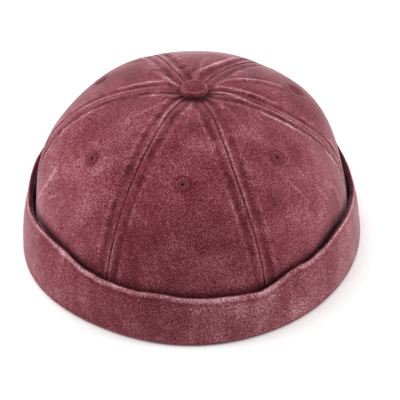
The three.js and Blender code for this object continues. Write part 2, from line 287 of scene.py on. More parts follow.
def cloth_finish(name, tone=0.5, fade_share=0.26, fleck_share=1.0, nap=0.65):
    """Washed twill. The shares say how far fading and flecks move the colour along the ramp."""
    finish = Finish(name, {
        "Roughness": 0.92,
        "Specular IOR Level": 0.15,
        "Sheen Weight": nap,
        "Sheen Roughness": 0.3,
        "Sheen Tint": NAP_TINT,
    })
    cloth = finish.node("ShaderNodeAttribute", {"attribute_name": "cloth"}, output="Vector")
    wear = finish.node("ShaderNodeAttribute", {"attribute_name": "wear"}, output="Fac")
    across = finish.node("ShaderNodeSeparateXYZ", inputs={0: cloth}, output="X")
    up, sheet = across["Y"], across["Z"]
    on_rib = across * math.cos(RIB_SLANT) + up * math.sin(RIB_SLANT)
    over_ribs = across * math.sin(RIB_SLANT) - up * math.cos(RIB_SLANT)

    def noise(size, detail, roughness=0.6, stretch=1.0):
        """Noise with lumps of a size in millimetres, drawn out along the ribs."""
        place = finish.node("ShaderNodeCombineXYZ", inputs={
            0: on_rib * (1 / (size * stretch)),
            1: over_ribs * (1 / size),
            2: sheet,
        })
        return finish.node(
            "ShaderNodeTexNoise",
            {"noise_dimensions": "3D"},
            {"Vector": place, "Scale": 1.0, "Detail": detail, "Roughness": roughness},
        )

    fade = noise(26, 3) - 0.5
    blotch = noise(7, 2) - 0.5
    flecks = noise(0.4, 1, stretch=1.2) - 0.5
    specks = noise(0.8, 0).above(0.76)
    rib = (over_ribs * (2 * math.pi / RIB_PITCH) + noise(5, 1) * 3).sine()
    slub = noise(1.6, 1, 0.5, stretch=3) - 0.5
    yarn = (over_ribs * (2.4 / RIB_PITCH)).floor()
    floats = finish.node("ShaderNodeTexWhiteNoise", inputs={
        "Vector": finish.node("ShaderNodeCombineXYZ", inputs={
            0: yarn,
            1: (on_rib * (1 / FLOAT_LENGTH) + yarn * 0.37).floor(),
            2: sheet,
        }),
    }) - 0.5
    shade = tone + wear * WEAR_AND_LIGHT_SHARE + fade * fade_share + blotch * (0.6 * fade_share)
    grain = flecks * 0.36 + floats * 0.44 + specks * 3.2 + rib * 0.05
    shade = shade + grain * fleck_share
    colour = finish.node(
        "ShaderNodeValToRGB",
        {"stops": [(0, DYE_RICH), (0.28, DYE_DEEP), (0.5, DYE_MID), (0.78, DYE_WORN), (1, DYE_BARE)]},
        {0: shade},
    )
    finish.feed(finish.shader.inputs["Base Color"], colour)
    # painted shade takes over where the value goes far below zero
    painted_shade_mix = finish.node("ShaderNodeMapRange", inputs={
        "Value": wear,
        "From Min": PAINTED_SHADE_START,
        "From Max": PAINTED_SHADE_FULL,
    })
    finish.mix_painted_shade(painted_shade_mix, PAINTED_SHADE_COLOUR)
    height = rib * 0.08 + flecks * 0.3 + slub * 0.2 + blotch
    bump = finish.node("ShaderNodeBump", inputs={"Strength": 0.55, "Distance": 0.0003, "Height": height})
    finish.feed(finish.shader.inputs["Normal"], bump)
    return finish.material


def thread_finish(name):
    """Dyed cotton thread: the ribs run round each strand, along its second cloth coordinate."""
    finish = Finish(name, {
        "Roughness": 0.85,
        "Specular IOR Level": 0.15,
        "Sheen Weight": 0.2,
        "Sheen Tint": NAP_TINT,
    })
    cloth = finish.node("ShaderNodeAttribute", {"attribute_name": "cloth"}, output="Vector")
    wear = finish.node("ShaderNodeAttribute", {"attribute_name": "wear"}, output="Fac")
    lumps = finish.node("ShaderNodeTexNoise", inputs={"Vector": cloth, "Scale": 0.9, "Detail": 2.0})
    up = finish.node("ShaderNodeSeparateXYZ", inputs={0: cloth}, output="Y")
    twist = (up * (2 * math.pi / TWIST_PITCH)).sine()
    shade = 0.7 + (lumps - 0.5) * 0.6 + wear * 0.4 + twist * 0.05
    colour = finish.node(
        "ShaderNodeValToRGB",
        {"stops": [(0, DYE_RICH), (0.45, DYE_DEEP), (0.8, DYE_MID), (1, DYE_WORN)]},
        {0: shade},
    )
    finish.feed(finish.shader.inputs["Base Color"], colour)
    bump = finish.node("ShaderNodeBump", inputs={"Strength": 0.4, "Distance": 0.0001, "Height": twist})
    finish.feed(finish.shader.inputs["Normal"], bump)
    return finish.material


crown_twill = cloth_finish("crown_twill")
cuff_twill = cloth_finish("cuff_twill", tone=0.52, fleck_share=1.2)
button_twill = cloth_finish("button_twill", tone=0.46, fade_share=0.5, fleck_share=1.3, nap=0.25)
sewing_thread = thread_finish("sewing_thread")
print("finishes:", ", ".join(material.name for material in bpy.data.materials))

# %% [markdown]
# ## The form of the crown
#
# A sewn crown is close to a dome that is longer than it is wide. Its outline at the foot is an ellipse,
# and its profile is a rounded arch. An angle runs up that arch, from 0 at the fold to 90 degrees at the
# apex. A short table makes the dome a little fuller or leaner as it goes round. Sculpting by hand would
# also work, but a formula gives a point and a normal anywhere, and every seam and stitch needs them.

# %% Crown
CROWN_HALF_WIDTH = 90
CROWN_HALF_DEPTH = 98
CROWN_HEIGHT = 93.5
CROWN_ROUNDNESS = 2.39
CROWN_SHOULDER = 2.6
APEX_DIP = 1.8  # how far the button's stitches pull the apex down
APEX_DIP_RADIUS = 13
SAG_HEIGHT = 30  # where the cloth leans out over the cuff most, or in from it
SAG_REACH = 14
CLOTH_THICKNESS = 1.6
LEG_HEIGHT = 8
TIP_RADIUS = 3
# going round in twelve steps: the reach at the foot and the fullness half-way up, as shares, and the lean
# at the level of the cuff's lip, in millimetres
SPREAD = [1.01, 1, 0.985, 0.985, 0.985, 1.005, 1, 1.005, 1, 1, 1, 1.01]
FULLNESS = [0.005, 0, 0, -0.03, 0.025, 0.005, -0.005, 0.03, 0.01, 0.06, -0.02, 0]
SAG = [1.5, -0.5, -0.9, -0.6, -1.4, 0, 0, 0, 0, -1.5, 1.3, 1.2]


def around(values, azimuth):
    """Value of a table whose entries go evenly round the cap, joined by a smooth curve."""
    values = np.asarray(values, float)
    place = np.mod(np.asarray(azimuth) / 360 * len(values), len(values))
    row = np.floor(place).astype(int)
    part = place - row
    before, start, end, after = (values[(row + step) % len(values)] for step in (-1, 0, 1, 2))
    slope, next_slope = (end - before) / 2, (after - start) / 2
    square = part**2 * (3 * (end - start) - 2 * slope - next_slope)
    return start + part * slope + square + part**3 * (2 * (start - end) + slope + next_slope)


def outline(azimuth):
    turn = np.radians(azimuth)
    inverse = np.hypot(np.sin(turn) / CROWN_HALF_WIDTH, np.cos(turn) / CROWN_HALF_DEPTH)
    return around(SPREAD, azimuth) / inverse


def at_radius(radius, azimuth, height):
    turn = np.radians(azimuth)
    return np.stack(np.broadcast_arrays(radius * np.sin(turn), -radius * np.cos(turn), height), -1)


def bell(distance, width):
    return np.exp(-((distance / width) ** 2))


def crown_rise(angle):
    return CROWN_HEIGHT * np.sin(angle) ** (2 / CROWN_SHOULDER)


def crown_radius(azimuth, angle):
    reach = np.maximum(np.cos(angle), 0) ** (2 / CROWN_ROUNDNESS)
    sag = around(SAG, azimuth) * bell(crown_rise(angle) - SAG_HEIGHT, SAG_REACH)
    return outline(azimuth) * reach * (1 + around(FULLNESS, azimuth) * np.sin(2 * angle)) + sag


def crown_point(azimuth, angle):
    radius = crown_radius(azimuth, angle)
    return at_radius(radius, azimuth, crown_rise(angle) - APEX_DIP * bell(radius, APEX_DIP_RADIUS))


def unit(vectors):
    return vectors / np.linalg.norm(vectors, axis=-1, keepdims=True)


def crown_normal(azimuth, angle):
    step = 0.002
    sideways = crown_point(azimuth + step, angle) - crown_point(azimuth - step, angle)
    upwards = crown_point(azimuth, angle + step) - crown_point(azimuth, angle - step)
    return unit(np.cross(sideways, upwards))


def way_up(azimuth):
    """Angles and lengths along the profile, from the foot of a panel to its tip."""
    first = math.asin(((LEG_HEIGHT + 0.2) / CROWN_HEIGHT) ** (CROWN_SHOULDER / 2))
    last = math.acos((TIP_RADIUS / outline(azimuth)) ** (CROWN_ROUNDNESS / 2))
    angles = np.linspace(first, last, 400)
    steps = np.linalg.norm(np.diff(crown_point(azimuth, angles), axis=0), axis=1)
    return angles, np.concatenate([[0], np.cumsum(steps)])


def angle_at(azimuth, share):
    angles, lengths = way_up(azimuth)
    return np.interp(np.asarray(share) * lengths[-1], lengths, angles)


print("length of the front panel, mm:", round(way_up(0)[1][-1], 1))

# %% [markdown]
# ## The line of the lip
#
# The turned-up cuff ends in a lip that rides up and down a little as it goes round. The cuff is made much
# later, but the crown's cloth has to know this line: below it, and a little above it, hardly any light gets
# in, so the crown is painted in shade there.

# %% Lip
CUFF_HEIGHT = 31
# going round in twelve steps: shares of the cuff's height
CUFF_HEIGHTS = [0.95, 0.96, 1.14, 0.92, 1.03, 1.05, 1.03, 1.01, 0.94, 0.92, 1.06, 1]
# azimuth, half width in degrees and rise in mm of each wave of the lip
LIP_WAVES = [
    (20, 6, -1.8),
    (34, 4.5, 2.1),
    (51, 8, -0.6),
    (134, 10, 0.9),
    (222, 12, -0.9),
    (282, 9, -3),
    (315, 9, 1.2),
    (336, 5, 0.45),
    (350, 7, 1.5),
]


def lip_height(azimuth):
    total = CUFF_HEIGHT * around(CUFF_HEIGHTS, azimuth)
    for centre, width, rise in LIP_WAVES:
        total = total + rise * bell((azimuth - centre + 180) % 360 - 180, width)
    return total


print("height of the lip in front, mm:", round(float(lip_height(0)), 1))

# %% [markdown]
# ## Unevenness
#
# Real cloth is never even. Smooth noise in three dimensions lends it soft dents: random values on a
# lattice, blended between the lattice points. The random numbers start from a fixed seed, so that the cap
# comes out the same each time.

# %% Smooth noise
def smooth_noise(points, size, seed):
    """Noise from -1 to 1 with lumps of a size in millimetres."""
    side = 32
    table = np.random.default_rng(seed).uniform(-1, 1, (side, side, side))
    cell = np.asarray(points, float) / size
    low = np.floor(cell).astype(int)
    part = cell - low
    part = part * part * (3 - 2 * part)
    total = 0
    for corner in product((0, 1), repeat=3):
        weight = np.prod(np.where(corner, part, 1 - part), axis=-1)
        place = (low + corner) % side
        total = total + weight * table[place[..., 0], place[..., 1], place[..., 2]]
    return total


def along(line, other=0.0):
    """A place for noise that varies along a line, such as a seam."""
    return np.stack(np.broadcast_arrays(line, other, 0.5), -1)


def ramp(value, start, end):
    part = np.clip((value - start) / (end - start), 0, 1)
    return part * part * (3 - 2 * part)


print("noise sample:", smooth_noise(np.zeros((1, 3)) + 3.3, 10, 1).round(3))

# %% [markdown]
# ## Panels and what the seams do to them
#
# Each panel is puffed up between two seams. At a seam the cloth turns inwards, so there is a fine dark
# line with a worn ridge beside it. The allowances are pressed open and stitched down on both sides; the
# stitches pull a ditch into the cloth, and washing shrinks the thread, so the ditch puckers. Outside the
# ditch the edge of the allowance shows as one more worn line. All this is height over the dome, worked
# out from the distance to the nearest seam.

# %% Relief
# name; the starting seam's azimuth, sway, bend and turn at its tip; the eyelet's azimuth and share up
PANELS = [
    ("front", -29.5, 0, 0, -20, -5.5, 0.55),
    ("front_right", 24, -3.5, 1, 10, 46.5, 0.57),
    ("back_right", 88, -3.5, 4.5, 0, 114, 0.55),
    ("back", 146, 1, 1.5, 8, 175, 0.5),
    ("back_left", 201.5, -1.5, -2, 4, 236, 0.55),
    ("front_left", 263.5, 3, 2.5, -25, 302.5, 0.52),
]
TIP_TURN_POWER = 8  # how late on its way up a seam turns
PANEL_PUFF = 1.0
PUFF_SINK = 0.45
STITCH_LINE = 4.5  # from a seam to the stitches beside it
STITCH_SHARE = 0.3  # the most of a panel's width that it takes, near the tip
ALLOWANCE_LINE = 7.6  # from a seam to the edge of the allowance under the cloth
RIDGE_LINE = 1.2  # from a seam to the worn ridge beside it
GROOVE_DEPTH = 0.35
GROOVE_WIDTH = 0.42
GROOVE_SHADE = 0.5  # how dark the dye stays in the groove
GROOVE_SHADE_WIDTH = 0.38
SEAM_RUBS = [1, 1.1, 2.4, 1, 1, 1.4]  # how hard each panel's starting seam was rubbed
PUCKER_PITCH = 7.5
PUCKER_SIZE = 5


class Panel:
    """One panel: where a place on its cloth lies on the crown."""

    def __init__(self, number):
        self.number = number
        self.name, *self.seam, self.eyelet_azimuth, self.eyelet_share = PANELS[number]
        _, *self.next_seam, _, _ = PANELS[(number + 1) % len(PANELS)]
        if self.next_seam[0] < self.seam[0]:
            self.next_seam[0] += 360
        self.middle = (self.seam[0] + self.next_seam[0]) / 2
        self.length = way_up(self.middle)[1][-1]

    def seam_azimuth(self, seam, share):
        azimuth, sway, bend, turn = seam
        waves = sway * np.sin(np.pi * share) + bend * np.sin(2 * np.pi * share)
        return azimuth + waves + turn * share**TIP_TURN_POWER

    def start(self, share):
        return self.seam_azimuth(self.seam, share)

    def end(self, share):
        return self.seam_azimuth(self.next_seam, share)

    def width(self, share):
        angle = angle_at(self.middle, share)
        return np.radians(self.end(share) - self.start(share)) * crown_radius(self.middle, angle)

    def azimuth(self, distance, share):
        """Azimuth of a place that lies a distance from the panel's starting seam."""
        start, end = self.start(share), self.end(share)
        return start + (end - start) * distance / self.width(share)


def seam_relief(panel, distance, share):
    """Height of the cloth beside the seams and its wear, a distance from the panel's starting seam."""
    width = panel.width(share)
    nearest = np.clip(np.minimum(distance, width - distance), 0, None)
    at_end = distance > width / 2
    seam = (panel.number + at_end) % len(PANELS)
    side = 2 * seam + at_end
    length = share * panel.length
    narrow = np.minimum(1, STITCH_SHARE * width / STITCH_LINE)
    nearest = nearest / narrow

    def varied(size, seed):
        return smooth_noise(along(length, side * (seed + 0.5)), size, seed)

    pucker = ramp(varied(PUCKER_SIZE, 11), -0.1, 0.7)
    phase = 2 * np.pi * length / PUCKER_PITCH + 4 * varied(18, 12) + side
    edge = bell(nearest - RIDGE_LINE, 0.7) * np.clip(0.55 + 0.8 * varied(12, 13), 0, 1.2)
    ditch = bell(nearest - STITCH_LINE - 0.7 * varied(9, 15), 1.5)
    outside = bell(nearest - ALLOWANCE_LINE, 1.1) * np.clip(0.4 + 0.8 * varied(12, 14), 0, 1.2)
    slant = np.sin(phase + 0.55 * (nearest - STITCH_LINE)) * bell(nearest - 6.5, 3.2)
    height = 0.25 * edge + 0.2 * outside + 0.1 * slant - ditch * (0.12 + 0.43 * pucker)
    paleness = np.array(SEAM_RUBS)[seam]
    wear = paleness * (0.38 * edge + 0.35 * outside) + 0.1 * slant - ditch * (0.2 + 0.45 * pucker)
    height = height * (0.4 + 0.6 * narrow) - GROOVE_DEPTH * bell(nearest, GROOVE_WIDTH)
    return height, wear * (0.5 + 0.5 * narrow) - GROOVE_SHADE * bell(nearest, GROOVE_SHADE_WIDTH)


panels = [Panel(number) for number in range(len(PANELS))]
for panel in panels:
    print(panel.name, "is", round(float(panel.width(0.0)), 1), "by", round(panel.length, 1), "mm")

# %% [markdown]
# ## Folds and gathers
#
# Where the six tips come together under the button there is too much cloth, and it stands up in short
# folds that run away from the button. A few soft creases lie lower down. Each is a curve through three
# places on the crown, with a height and a width. The height of the cloth there is a ridge with a shallow
# valley on each side. A cloth simulation would find folds of its own, but not these.

# %% Folds
FOLD_STEPS = 28
# three places as (azimuth, share of the way up), height in mm, half width in mm
FOLDS = [
    (((254, 0.70), (248, 0.79), (238, 0.87)), 0.8, 1.6),
    (((112, 0.62), (116, 0.74), (127, 0.91)), 0.8, 1.7),
    (((153, 0.63), (160, 0.80), (182, 0.90)), 0.9, 1.8),
    (((76, 0.75), (83, 0.86), (98, 0.965)), 0.9, 1.5),
    (((89, 0.70), (94, 0.82), (101, 0.93)), 0.6, 1.4),
    (((217, 0.55), (212, 0.61), (206, 0.68)), 0.4, 2.0),
    (((274, 0.80), (276, 0.89), (284, 0.96)), 0.5, 1.5),
    (((41, 0.54), (46, 0.43), (51, 0.32)), 0.35, 1.2),
    (((55, 0.41), (48, 0.35), (44, 0.28)), 0.2, 1.6),
    (((286, 0.44), (285.5, 0.28), (276, 0.10)), 0.5, 1.4),
    (((290, 0.25), (293, 0.285), (297, 0.33)), 0.4, 1.2),
    (((57, 0.46), (58, 0.37), (64, 0.24)), 0.3, 1.3),
    (((66, 0.34), (70, 0.27), (70, 0.18)), 0.35, 2.2),
    (((306, 0.58), (297, 0.57), (289, 0.55)), 0.2, 1.6),
    (((309, 0.44), (311, 0.50), (314, 0.56)), 0.2, 1.8),
    (((330, 0.74), (322, 0.84), (312, 0.95)), 0.4, 1.7),
    (((300, 0.70), (300, 0.82), (302, 0.95)), 0.3, 1.8),
    (((40, 0.72), (48, 0.84), (55, 0.96)), 0.3, 1.8),
    (((352, 0.76), (352, 0.86), (352, 0.95)), 0.3, 1.8),
    (((222, 0.78), (226, 0.87), (232, 0.96)), 0.6, 1.6),
    (((170, 0.72), (172, 0.84), (174, 0.96)), 0.4, 1.8),
]


def through(start, middle, end, part):
    """A curve through three values, at parts of the way from 0 to 1."""
    pull = 2 * (2 * middle - (start + end) / 2)
    return start * (1 - part) ** 2 + pull * part * (1 - part) + end * part**2


def fold_lines():
    lines = []
    part = np.linspace(0, 1, FOLD_STEPS)
    for places, height, width in FOLDS:
        azimuth, share = (through(*values, part) for values in zip(*places))
        angles = np.array([float(angle_at(a, s)) for a, s in zip(azimuth, share)])
        lines.append((crown_point(azimuth, angles), np.sin(np.pi * part) ** 0.6, height, width))
    return lines


fold_curves = fold_lines()


def fold_relief(points):
    """Height and wear of the folds at places on the even crown."""
    height = np.zeros(points.shape[:-1])
    wear = np.zeros(points.shape[:-1])
    for curve, taper, rise, width in fold_curves:
        low, high = curve.min(0) - 4 * width, curve.max(0) + 4 * width
        near = ((points > low) & (points < high)).all(-1)
        gap = np.linalg.norm(points[near][:, None] - curve[None], axis=-1)
        closest = gap.argmin(1)
        distance = gap[np.arange(len(gap)), closest] / width
        strength = taper[closest]
        height[near] += rise * strength * (1 - 0.7 * distance**2) * np.exp(-(distance**2) / 1.6)
        wear[near] += 0.85 * rise * strength * (1 - 0.9 * distance**2) * np.exp(-(distance**2) / 1.2)
    return height, wear


print(len(fold_curves), "folds")

# %% [markdown]
# ## The cloth of a panel
#
# All heights are added here: the puff between the seams, the seams, the folds, a dimple round each eyelet
# and the soft dents. The sum moves a point of the dome along its normal. The same function places the
# stitches and eyelets, so that they lie on the cloth wherever it rises or falls.

# %% Height of the cloth
# how much lighter or darker the crown is painted for the light that falls on it, going round in twelve steps
CROWN_PAINTED_LIGHT = [-0.1, -0.05, 0.18, 0.05, 0, 0, 0, 0, 0, 0.1, 0.24, -0.18]
PAINTED_LIGHT_SHARE = 0.33  # how far up the painted light and shade are strongest
PAINTED_LIGHT_REACH = 0.27
EYELET_SHADOW_RING = 4.2  # from an eyelet's centre to the painted shadow ring round it
BUTTON_PAINTED_SHADOW = (7.6, 11.5)  # from the apex: where the button's painted shadow on the crown is full, and where it ends
LIP_PAINTED_SHADE = (-7, 2.5)  # from the lip's level: where the painted shade is full, and where it ends
SEAM_SHADE_LIMIT = -0.6  # the darkest that seams and the button's painted shadow leave the cloth
EYELET_RADIUS = 3.6
EYELET_HOLE = 0.7


def eyelet_centre(panel):
    angle = angle_at(panel.eyelet_azimuth, panel.eyelet_share)
    return crown_point(panel.eyelet_azimuth, angle), crown_normal(panel.eyelet_azimuth, angle)


def cloth_surface(panel, distance, share):
    """Points, normals of the dome, and wear with painted light and shade, at distances from the starting seam
    and shares up.
    """
    distance, share = np.broadcast_arrays(np.asarray(distance, float), np.asarray(share, float))
    azimuth = panel.azimuth(distance, share)
    angle = angle_at(panel.middle, share)
    even = crown_point(azimuth, angle)
    normal = crown_normal(azimuth, angle)
    width = panel.width(share)
    crossways = np.sin(np.pi * np.clip(distance / width, 0, 1)) - PUFF_SINK
    puff = PANEL_PUFF * crossways * np.sqrt(np.sin(np.pi * np.clip(share, 0, 1)))
    seam_height, seam_wear = seam_relief(panel, distance, share)
    fold_height, fold_wear = fold_relief(even)
    dents = 0.45 * smooth_noise(even, 30, 21) + 0.16 * smooth_noise(even, 11, 22)
    dents = dents * ramp(share, 0, 0.1)
    centre, _ = eyelet_centre(panel)
    from_eyelet = np.linalg.norm(even - centre, axis=-1)
    dimple = -0.3 * bell(from_eyelet, 5.5) + 0.15 * bell(from_eyelet - 6.5, 1.6)
    height = puff + seam_height + fold_height + dents + dimple
    # Wear of the seams and folds, random tone, and a painted shadow ring round the eyelet.
    wear = seam_wear + fold_wear + 0.25 * smooth_noise(even, 11, 22) - 0.5 * bell(from_eyelet - EYELET_SHADOW_RING, 0.8)
    # Painted light and shade that differ round the crown, strongest part-way up.
    wear = wear + around(CROWN_PAINTED_LIGHT, azimuth) * bell(share - PAINTED_LIGHT_SHARE, PAINTED_LIGHT_REACH)
    # Painted shadow of the button on the crown round the apex.
    wear = wear - 0.5 * (1 - ramp(np.hypot(even[..., 0], even[..., 1]), *BUTTON_PAINTED_SHADOW))
    # Painted shade on the crown below the cuff's lip and just above it, where hardly any light gets in.
    painted_lip_shade = 1 - ramp(even[..., 2] - lip_height(azimuth), *LIP_PAINTED_SHADE)
    wear = np.maximum(wear, SEAM_SHADE_LIMIT) * (1 - painted_lip_shade) + PAINTED_SHADE_FULL * painted_lip_shade
    return even + normal * height[..., None], normal, wear


sample, _, _ = cloth_surface(panels[0], 40.0, 0.5)
print("a place on the front panel:", sample.round(1))

# %% [markdown]
# ## From points to closed meshes
#
# Cloth has two sides. A panel is a grid of points on its outer face and the same grid on its back, joined
# along every free edge, so that the mesh is closed and could be printed. A Solidify modifier does much the
# same, but its back follows every pucker of the front, and here the back is calmer.

# %% Mesh helpers
def make_piece(name, points, faces, material, cloth, wear, nodes=()):
    """Makes one object from points in millimetres round the crown's axis, and rides it on the body."""
    mesh = bpy.data.meshes.new(name)
    placed = (np.asarray(points).reshape(-1, 3) + crown_axis) * MM
    mesh.from_pydata(placed.tolist(), [], [list(face) for face in faces])
    mesh.attributes.new("cloth", "FLOAT_VECTOR", "POINT").data.foreach_set("vector", np.ravel(cloth))
    mesh.attributes.new("wear", "FLOAT", "POINT").data.foreach_set("value", np.ravel(wear))
    mesh.polygons.foreach_set("use_smooth", [True] * len(mesh.polygons))
    mesh.materials.append(material)
    mesh.validate()
    piece = bpy.data.objects.new(name, mesh)
    bpy.context.scene.collection.objects.link(piece)
    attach(piece, "root")
    if nodes:
        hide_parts(*nodes)
    print(name, "has", len(mesh.vertices), "points and", len(mesh.polygons), "faces")
    return piece


def shell_faces(rows, columns, kept):
    """Faces of a closed shell over two grids. kept says which squares of the grid are cloth."""
    number = np.arange(rows * columns).reshape(rows, columns)
    squares = np.stack([number[:-1, :-1], number[:-1, 1:], number[1:, 1:], number[1:, :-1]], -1)[kept]
    edges = np.stack([squares, np.roll(squares, -1, axis=1)], -1).reshape(-1, 2)
    _, first, uses = np.unique(np.sort(edges, axis=1), axis=0, return_index=True, return_counts=True)
    free = edges[first[uses == 1]]
    back = rows * columns
    walls = np.stack([free[:, 1], free[:, 0], free[:, 0] + back, free[:, 1] + back], -1)
    return np.concatenate([squares, squares[:, ::-1] + back, walls]).tolist()


def drop_unused(points, faces, *values):
    """Leaves out the points that no face uses."""
    faces = np.asarray(faces)
    used, renumbered = np.unique(faces, return_inverse=True)
    return points[used], renumbered.reshape(faces.shape).tolist(), *[value[used] for value in values]


# %% Panels
PANEL_ROWS = 160
SEAM_COLUMNS = 24
MIDDLE_COLUMNS = 64
SEAM_ZONE = 11  # the strip beside a seam that has the finest columns
SEAM_OVERLAP = 0.15  # how far the back of a panel reaches under its neighbour
EYELET_CUT = 1.3  # how far outside the eyelet's hole the cloth is cut away
PANEL_SHEET = 7.0  # sets each panel's noise apart from the next one's
BACK_WEAR = -0.1


def panel_distances(panel, share):
    """Distances from the starting seam, closest together beside the seams."""
    width = panel.width(share)
    zone = np.minimum(SEAM_ZONE, 0.42 * width)
    near = zone * np.linspace(0, 1, SEAM_COLUMNS + 1) ** 1.5
    middle = zone + (width - 2 * zone) * np.linspace(0, 1, MIDDLE_COLUMNS + 1)[1:-1]
    return np.concatenate([near, middle, (width - near)[::-1]])


def panel_piece(panel):
    shares = np.linspace(0, 1, PANEL_ROWS + 1)
    distance = np.array([panel_distances(panel, share) for share in shares])
    share = np.broadcast_to(shares[:, None], distance.shape)
    face, normal, wear = cloth_surface(panel, distance, share)
    width = panel.width(share)
    under = np.array(distance)
    under[:, 0] -= SEAM_OVERLAP
    under[:, -1] += SEAM_OVERLAP
    azimuth = panel.azimuth(under, share)
    angle = angle_at(panel.middle, share)
    sag = PANEL_PUFF * 0.5 * (np.sin(np.pi * np.clip(under / width, 0, 1)) - 0.9)
    back = crown_point(azimuth, angle) + crown_normal(azimuth, angle) * (sag - CLOTH_THICKNESS)[..., None]
    centre, _ = eyelet_centre(panel)
    inner = np.linalg.norm(crown_point(azimuth, angle) - centre, axis=-1) < EYELET_HOLE + EYELET_CUT
    kept = ~(inner[:-1, :-1] | inner[1:, :-1] | inner[:-1, 1:] | inner[1:, 1:])
    faces = shell_faces(*distance.shape, kept)
    sheet = np.full_like(share, PANEL_SHEET * panel.number)
    cloth = np.stack([distance - width / 2, share * panel.length, sheet], -1)
    points = np.concatenate([face.reshape(-1, 3), back.reshape(-1, 3)])
    cloth = np.concatenate([cloth.reshape(-1, 3)] * 2)
    wear = np.concatenate([wear.ravel(), np.full(wear.size, BACK_WEAR)])
    points, faces, cloth, wear = drop_unused(points, faces, cloth, wear)
    name = f"crown_{panel.name}"
    return make_piece(name, points, faces, crown_twill, cloth, wear, [f"panel_{panel.name}"])


for panel in panels:
    panel_piece(panel)

# %% [markdown]
# ## Stitches
#
# Two rows of stitches hold each seam's allowances down. A stitch is a short strand that comes up out of
# the cloth, lies on it for about two millimetres and goes down again. All of them are one mesh, with a
# ring of points at a few places along each strand. A curve with bevel would do for a handful of stitches,
# but there are hundreds.

# %% Strands
STITCH_PITCH = 3.1
STITCH_LENGTH = 2.3
STRAND_RADIUS = 0.24
STRAND_SIDES = 6
STRAND_SHEET = 3.7  # sets each strand's noise apart from the next one's
# share of the strand's length, height over the cloth and thickness, both as shares of its radius
STRAND_SHAPE = [(0.0, -0.9, 0.35), (0.1, 0.0, 0.8), (0.5, 0.45, 1.0), (0.9, 0.0, 0.8), (1.0, -0.9, 0.35)]


def strand_mesh(starts, ends, normals, radius):
    """Points, faces and cloth coordinates of short strands between pairs of places."""
    forward = unit(ends - starts)
    sideways = unit(np.cross(forward, normals))
    rings = []
    for place, lift, thickness in STRAND_SHAPE:
        centre = starts + (ends - starts) * place + normals * (lift * radius)
        for side in range(STRAND_SIDES):
            turn = 2 * math.pi * side / STRAND_SIDES
            offset = sideways * math.cos(turn) + normals * math.sin(turn)
            rings.append(centre + offset * (radius * thickness))
    points = np.stack(rings, 1)
    each = len(STRAND_SHAPE) * STRAND_SIDES
    faces = []
    for ring, side in product(range(len(STRAND_SHAPE) - 1), range(STRAND_SIDES)):
        low, next_low = ring * STRAND_SIDES + side, ring * STRAND_SIDES + (side + 1) % STRAND_SIDES
        faces.append([low, next_low, next_low + STRAND_SIDES, low + STRAND_SIDES])
    last = each - STRAND_SIDES
    caps = [list(range(STRAND_SIDES))[::-1], [last + side for side in range(STRAND_SIDES)]]
    every = [
        [corner + each * strand for corner in face]
        for strand in range(len(starts))
        for face in faces + caps
    ]
    cloth = np.zeros_like(points)
    cloth[..., 0] = np.arange(len(starts))[:, None] * STRAND_SHEET
    cloth[..., 1] = np.repeat([place for place, _, _ in STRAND_SHAPE], STRAND_SIDES) * STITCH_LENGTH
    return points.reshape(-1, 3), every, cloth.reshape(-1, 3)


def seam_stitches():
    starts, ends, normals = [], [], []
    for panel in panels:
        count = int(panel.length * 0.93 / STITCH_PITCH)
        for at_end in (False, True):
            share = 0.02 + np.arange(count) * STITCH_PITCH / panel.length
            for ends_list, shift in ((starts, 0), (ends, STITCH_LENGTH / panel.length)):
                width = panel.width(share + shift)
                line = STITCH_LINE * np.minimum(1, STITCH_SHARE * width / STITCH_LINE)
                point, normal, _ = cloth_surface(panel, width - line if at_end else line, share + shift)
                ends_list.append(point)
            normals.append(normal)
    strands = (np.concatenate(part) for part in (starts, ends, normals))
    points, faces, cloth = strand_mesh(*strands, STRAND_RADIUS)
    wear = np.zeros(len(points))
    return make_piece("seam_stitches", points, faces, sewing_thread, cloth, wear)


seam_stitches()

# %% [markdown]
# ## Eyelets
#
# An eyelet is a hole whose edge is covered with close stitches, all pointing at its centre. Seen from
# above it is a low ring with fine ridges. So it is made as a ring whose section is swept round the hole,
# and each strand raises a ridge on it.

# %% Eyelets
EYELET_STRANDS = 44
EYELET_RISE = 0.6
# radius as a share from hole to outer edge, height as a share of the rise
EYELET_SECTION = [
    (0.0, -2.6), (0.0, -0.6), (0.02, 0.1), (0.1, 0.55), (0.25, 0.85), (0.45, 1.0),
    (0.65, 0.95), (0.82, 0.72), (0.94, 0.35), (1.0, -0.1), (0.98, -0.6), (0.3, -0.8), (0.24, -2.6),
]


